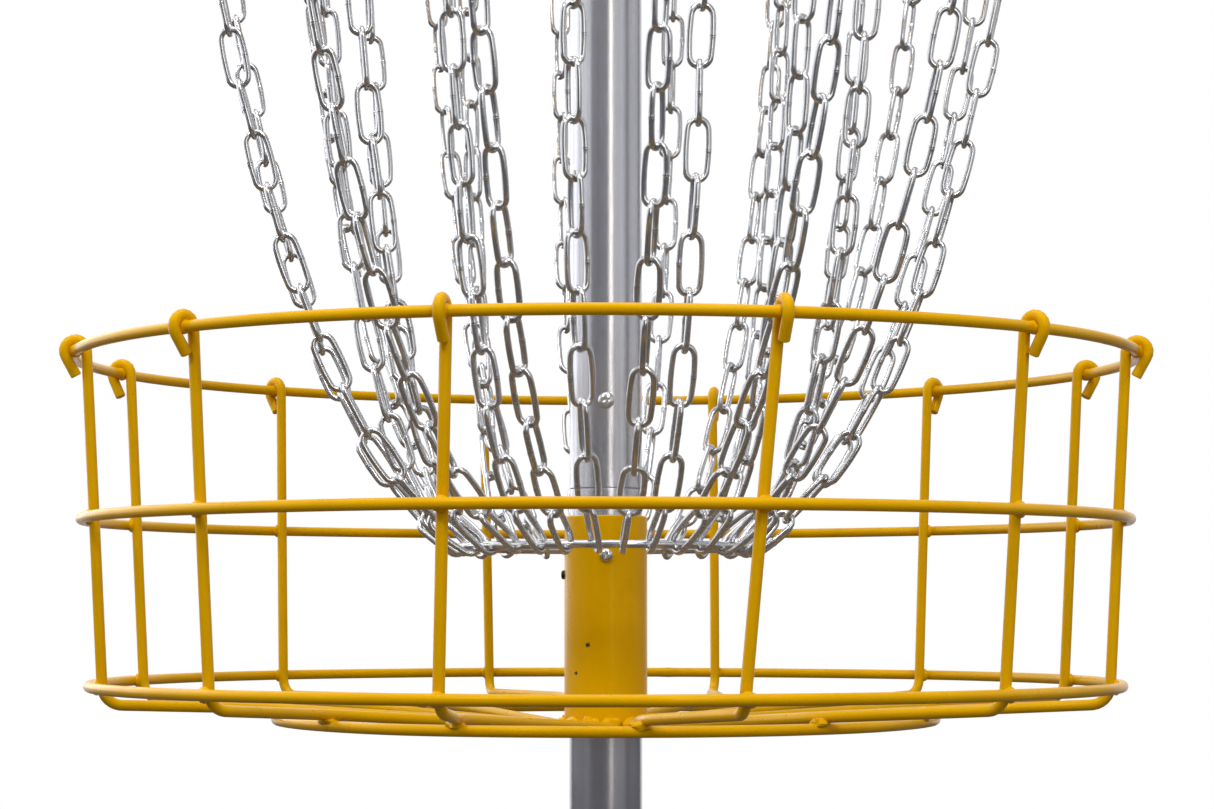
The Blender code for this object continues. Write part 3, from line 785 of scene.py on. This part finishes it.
# ================================================================ top rack
def build_top_rack(looks):
    """The hub with its arms, the two hanger rings and the band."""
    yellow = looks["yellow_powder_coat"]
    low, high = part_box("hanger_spider")
    upper_low, upper_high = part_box("upper_pole")
    bore = (upper_high.x - upper_low.x) / 2 + SLIP_GAP
    hub = bore + HUB_WALL
    ceiling = upper_high.z + 0.2 * MM
    band_low, band_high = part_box("top_band")
    band = (band_high.x - band_low.x) / 2
    outer, hanger_z, hanger_wire = ring_size("outer_hanger_ring")
    inner = ring_size("inner_hanger_ring")[0]
    arm_z = hanger_z + hanger_wire + ARM_WIRE + 0.3 * MM
    corners = ((AXIS_HOLE, high.z), (hub, high.z), (hub, low.z), (bore, low.z), (bore, ceiling),
               (AXIS_HOLE, ceiling))
    rack = Shape().add(turned(rounded(corners, HUB_EDGE, loop=False), loop=False))
    for k in range(ARM_COUNT):
        azimuth = FIRST_ARM + 360.0 / ARM_COUNT * k
        ends = [around(bore + 1.0 * MM, azimuth, arm_z), around(band - 2.6 * MM, azimuth, arm_z)]
        rack.add(cut_wire(smooth_line(ends, 8 * MM), ARM_WIRE))
        rack.add(bead(saddle(ARM_WIRE, hub, azimuth, arm_z, 48), 1.5 * MM, seed=k))
        axes = (around(1.0, azimuth + 90.0, 0.0), around(1.0, azimuth, 0.0), Vector((0, 0, 1)))
        for radius in (inner, outer):
            spot = around(radius, azimuth, hanger_z + hanger_wire)
            rack.add(blob(spot, axes, (6.5 * MM, 6.0 * MM, 3.2 * MM), seed=k))
    rack.build("hanger_spider.rack", yellow, "upper_assembly", "yellow_powder_coat", ["hanger_spider"])
    for seed, (node, radius) in enumerate((("outer_hanger_ring", outer), ("inner_hanger_ring", inner))):
        ring = wavy_ring(radius, hanger_z, hanger_wire, 12 + seed, 140.0 + 60 * seed)
        Shape().add(ring).build(f"{node}.wire", yellow, "upper_assembly", "yellow_powder_coat", [node])
    build_band(looks, band, band_low.z, band_high.z, arm_z)


def build_band(looks, radius, low, high, arm_z):
    """A sheet band with rolled edges, a riveted lap plate, and a screw at each arm."""
    yellow = looks["yellow_powder_coat"]
    inner, middle = radius - BAND_SHEET, radius - BAND_SHEET / 2
    roll_low, roll_high = low + BAND_ROLL, high - BAND_ROLL
    flat_low, flat_high = roll_low + 1.5 * BAND_ROLL, roll_high - 1.5 * BAND_ROLL
    profile = [(radius, flat_low), (radius, flat_high)]
    profile += arc((middle, roll_high), BAND_ROLL, -20.0, 200.0, ROLL_STEPS)
    profile += [(inner, flat_high), (inner, flat_low)]
    profile += arc((middle, roll_low), BAND_ROLL, 160.0, 380.0, ROLL_STEPS)
    shape = Shape().add(turned(profile, steps=BAND_STEPS))
    shape.build("top_band.sheet", yellow, "upper_assembly", "yellow_powder_coat", ["top_band"])
    lap_plate(radius, roll_low, roll_high).build(
        "top_band.lap_plate", yellow, "upper_assembly", "yellow_powder_coat"
    )
    screws = Shape()
    for k in range(ARM_COUNT):
        spot = around(radius + 2.4 * MM, FIRST_ARM + 360.0 / ARM_COUNT * k, arm_z)
        screws.add(placed(screw_head(4.5 * MM, 2.4 * MM, 0.4 * MM), outward_matrix(spot)))
    screws.build("top_band.screws", looks["zinc_fastener"], "upper_assembly", "zinc_fastener", sharp=32.0)


def lap_plate(radius, low, high):
    """The plate over the band's joint at the back, between the rolled edges, with two rows of rivets."""
    back, steps = 180.0, 16
    face = radius + LAP_SHEET
    seat, margin = radius - 0.1 * MM, 2.2 * BAND_ROLL
    corners = ((seat, low + margin), (face, low + margin), (face, high - margin), (seat, high - margin))
    outline = rounded(corners, 0.5 * MM)
    rows = []
    for step in range(steps + 1):
        azimuth = back + math.degrees((2 * step / steps - 1) * LAP_HALF_WIDTH / radius)
        rows.append([tuple(around(r, azimuth, z)) for r, z in outline])
    last = steps * len(outline)
    faces = grid_faces(steps + 1, len(outline))
    faces += [tuple(range(len(outline))), tuple(last + k for k in range(len(outline)))]
    plate = Shape().add((np.array(rows).reshape(-1, 3), faces))
    for side in (-0.5, 0.5):
        for share in (0.2, 0.5, 0.8):
            azimuth = back + math.degrees(side * LAP_HALF_WIDTH / radius)
            spot = around(face, azimuth, low + (high - low) * share)
            plate.add(placed(dome(2.6 * MM, 1.3 * MM), outward_matrix(spot)))
    return plate


def dome(radius, height):
    """A low rivet head on local z = 0."""
    rings, steps = 9, 28
    slope = np.linspace(0.05, math.pi / 2, rings)
    turn = math.tau * np.arange(steps) / steps
    r, z = radius * np.sin(slope)[:, None], height * np.cos(slope)[:, None]
    points = np.stack([r * np.cos(turn), r * np.sin(turn), z + 0 * turn], -1).reshape(-1, 3)
    last = (rings - 1) * steps
    return points, grid_faces(rings, steps) + [tuple(range(steps)), tuple(last + k for k in range(steps))]


# ================================================================ base
def build_base(looks):
    """The hoop, the socket with its spokes, and the feet."""
    steel = looks["galvanised_tube"]
    hoop_radius, hoop_z, hoop_tube = ring_size("base_hoop", six_sided=False)
    hoop = wavy_ring(hoop_radius, hoop_z, hoop_tube, 21, 175.0, sides=TUBE_SIDES)
    Shape().add(hoop).build("base_hoop.tube", steel, "stand", "galvanised_tube", ["base_hoop"])
    low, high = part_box("base_spider")
    pole_low, pole_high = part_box("lower_pole")
    bore = (pole_high.x - pole_low.x) / 2 + SLIP_GAP
    socket = bore + SOCKET_WALL
    floor_z = pole_low.z - SLIP_GAP
    corners = ((AXIS_HOLE, low.z), (socket, low.z), (socket, high.z), (bore, high.z), (bore, floor_z),
               (AXIS_HOLE, floor_z))
    spider = Shape().add(turned(rounded(corners, SOCKET_EDGE, loop=False), loop=False))
    steps, weld = 64, 2.4 * MM
    for k in range(SPOKE_COUNT):
        azimuth = 360.0 / SPOKE_COUNT * k
        tip = hoop_radius - hoop_tube + 2.5 * MM
        ends = [around(bore + 1.0 * MM, azimuth, hoop_z), around(tip, azimuth, hoop_z)]
        spider.add(cut_wire(smooth_line(ends, 10 * MM), SPOKE_RADIUS, sides=TUBE_SIDES))
        along = around(1.0, azimuth + 90.0, 0.0)
        outer = []
        for step in range(steps):
            turn = math.tau * step / steps
            across, height = SPOKE_RADIUS * math.cos(turn), SPOKE_RADIUS * math.sin(turn)
            gap = hoop_radius - math.sqrt(hoop_tube**2 - height**2)
            out = gap - across**2 / (2 * hoop_radius)
            outer.append(around(out, azimuth, hoop_z + height) + along * across)
        spider.add(bead(saddle(SPOKE_RADIUS, socket, azimuth, hoop_z, steps), weld, seed=k))
        spider.add(bead(outer, weld, seed=k + 5))
    spider.build("base_spider.welded", steel, "stand", "galvanised_tube", ["base_spider"])
    for k in range(3):
        node = f"foot_{k + 1}"
        foot = foot_shape(node, hoop_radius, hoop_z, hoop_tube)
        foot.build(f"{node}.pad", looks["rubber"], "stand", "rubber", [node])


def foot_shape(node, hoop_radius, hoop_z, hoop_tube):
    """A moulded rubber pad with two grooves round its side and a saddle that holds the hoop."""
    low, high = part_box(node)
    centre = (low + high) / 2
    radius, height = (high.x - low.x) / 2, high.z
    saddle_radius = hoop_tube + 0.2 * MM
    steps, top_rings = 96, 22
    turn = math.tau * np.arange(steps) / steps

    def top_at(x, y):
        off = np.abs(np.hypot(x, y) - hoop_radius)
        groove = hoop_z - np.sqrt(np.clip(saddle_radius**2 - off**2, 0, None))
        return np.where(off < hoop_tube, np.minimum(height, groove), height)

    rows = []
    # The pad's side, as shares of its radius and height: a chamfer, two grooves and a soft shoulder.
    wall = (
        (0.55, 0.0), (0.93, 0.0), (0.985, 0.05), (1.0, 0.15), (1.0, 0.26), (0.955, 0.31), (0.955, 0.37),
        (1.0, 0.42), (1.0, 0.58), (0.955, 0.63), (0.955, 0.69), (0.99, 0.74), (0.985, 0.92), (0.95, 1.0),
    )
    for share, lift in wall:
        x, y = centre.x + share * radius * np.sin(turn), centre.y - share * radius * np.cos(turn)
        rows.append(np.stack([x, y, lift * top_at(x, y)], -1))
    for share in np.linspace(0.93, 0.02, top_rings):
        x, y = centre.x + share * radius * np.sin(turn), centre.y - share * radius * np.cos(turn)
        rows.append(np.stack([x, y, top_at(x, y)], -1))
    points = np.concatenate(rows)
    last = (len(rows) - 1) * steps
    faces = grid_faces(len(rows), steps) + [tuple(range(steps)), tuple(last + k for k in range(steps))]
    return Shape().add((points, faces))


# ================================================================ camera, light and floor
def add_camera():
    """The camera, placed as fitted to the object's own rings and pole."""
    data = bpy.data.cameras.new("camera")
    data.lens, data.sensor_width = CAMERA_LENS, CAMERA_SENSOR
    data.clip_start, data.clip_end = 0.05, 60.0
    camera = bpy.data.objects.new("camera", data)
    camera.location = CAMERA_PLACE
    camera.rotation_euler = (math.radians(90.0 + CAMERA_TILT), 0.0, math.radians(CAMERA_TURN))
    bpy.context.scene.collection.objects.link(camera)
    bpy.context.scene.camera = camera


def add_softbox(name, place, aim, width, height, glow, colour=(1.0, 1.0, 1.0)):
    """A rectangular light aimed at a point, with a glow (radiance) that doesn't change with its size."""
    data = bpy.data.lights.new(name, "AREA")
    data.shape = "RECTANGLE"
    data.size, data.size_y = width, height
    data.color = colour
    data.energy = glow * width * height * math.pi
    light = bpy.data.objects.new(name, data)
    light.location = place
    light.rotation_euler = (Vector(aim) - Vector(place)).to_track_quat("-Z", "Y").to_euler()
    light.visible_camera = False
    bpy.context.scene.collection.objects.link(light)


def add_lights():
    """Soft panels round the part, bright on its left, a narrow warm strip and two high lamps in front."""
    middle = (0.0, 0.0, 0.85)
    add_softbox("left_back", around(1.9, -128.0, 1.45), middle, 1.9, 1.7, 1.75, (0.97, 0.98, 1.0))
    add_softbox("left_side", around(2.0, -91.0, 1.45), middle, 0.9, 1.7, 0.95, (0.97, 0.98, 1.0))
    add_softbox("left_fill", around(2.0, -64.0, 1.45), middle, 1.0, 1.7, 0.8, (0.97, 0.98, 1.0))
    add_softbox("overhead", (-0.2, -0.1, 3.3), middle, 2.6, 2.2, 1.95)
    add_softbox("front_strip", around(2.4, 16.5, 1.2), middle, 0.36, 1.3, 4.0, (1.0, 0.95, 0.87))
    add_softbox("right_fill", around(2.4, 45.0, 1.2), middle, 1.7, 1.3, 0.6)
    add_softbox("front_left_high", around(2.2, -32.0, 2.7), middle, 0.7, 0.7, 13.0)
    add_softbox("front_right_high", around(2.2, 20.0, 2.7), middle, 0.7, 0.7, 13.0)
    add_softbox("right_wall", around(2.6, 100.0, 1.4), middle, 2.2, 1.6, 0.45)
    add_softbox("backdrop", (0.0, 3.0, 1.3), middle, 5.0, 2.4, 0.8)


def build_world():
    """A grey room, darker below, that the camera sees as plain white."""
    world = bpy.data.worlds.new("studio")
    world.use_nodes = True
    bpy.context.scene.world = world
    tree = world.node_tree
    tree.nodes.clear()
    place = tree.nodes.new("ShaderNodeTexCoord")
    split = tree.nodes.new("ShaderNodeSeparateXYZ")
    ramp = tree.nodes.new("ShaderNodeValToRGB")
    spread = tree.nodes.new("ShaderNodeMapRange")
    spread.inputs["From Min"].default_value = -1.0
    room = tree.nodes.new("ShaderNodeBackground")
    white = tree.nodes.new("ShaderNodeBackground")
    path = tree.nodes.new("ShaderNodeLightPath")
    mix = tree.nodes.new("ShaderNodeMixShader")
    out = tree.nodes.new("ShaderNodeOutputWorld")
    tree.links.new(place.outputs["Generated"], split.inputs[0])
    tree.links.new(split.outputs["Z"], spread.inputs["Value"])
    tree.links.new(spread.outputs[0], ramp.inputs["Fac"])
    tree.links.new(ramp.outputs["Color"], room.inputs["Color"])
    tree.links.new(path.outputs["Is Camera Ray"], mix.inputs["Fac"])
    tree.links.new(room.outputs[0], mix.inputs[1])
    tree.links.new(white.outputs[0], mix.inputs[2])
    tree.links.new(mix.outputs[0], out.inputs["Surface"])
    white.inputs["Color"].default_value = (1.0, 1.0, 1.0, 1.0)
    stops = ramp.color_ramp.elements
    stops[0].position, stops[0].color = 0.0, (0.11, 0.10, 0.09, 1.0)
    stops[1].position, stops[1].color = 1.0, (0.50, 0.50, 0.52, 1.0)
    middle_stop = stops.new(0.5)
    middle_stop.color = (0.14, 0.14, 0.155, 1.0)
    bpy.context.scene.view_settings.view_transform = "Standard"


def build_floor():
    """A pale disc under the part that takes its shadow and lights nothing."""
    mesh = bpy.data.meshes.new("studio_floor")
    bm = bmesh.new()
    bmesh.ops.create_circle(bm, cap_ends=True, segments=96, radius=FLOOR_RADIUS)
    bm.to_mesh(mesh)
    bm.free()
    mesh.materials.append(floor_finish())
    floor = bpy.data.objects.new("studio_floor", mesh)
    floor.visible_diffuse = False
    floor.visible_glossy = False
    bpy.context.scene.collection.objects.link(floor)


def make_looks():
    """Every material by its slot's name."""
    low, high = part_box("basket_sleeve")
    sleeve = (high.x - low.x) / 2
    chips = (
        (around(sleeve, -26.0, 0.6470), 1.6 * MM),
        (around(sleeve, -46.0, 0.6300), 1.2 * MM),
    )
    return {
        "yellow_powder_coat": powder_coat(chips),
        "zinc_chain": zinc("zinc_chain", (0.70, 0.71, 0.725), (0.61, 0.615, 0.625), 0.20),
        "zinc_fastener": zinc("zinc_fastener", (0.74, 0.75, 0.75), (0.62, 0.62, 0.60), 0.22),
        "galvanised_tube": galvanised_tube(),
        "dark_fastener": dark_fastener(),
        "rubber": rubber(),
    }


looks = make_looks()
add_camera()
add_lights()
build_world()
build_floor()
build_basket(looks)
build_pole(looks)
build_fasteners(looks)
build_chains(looks)
build_top_rack(looks)
build_base(looks)
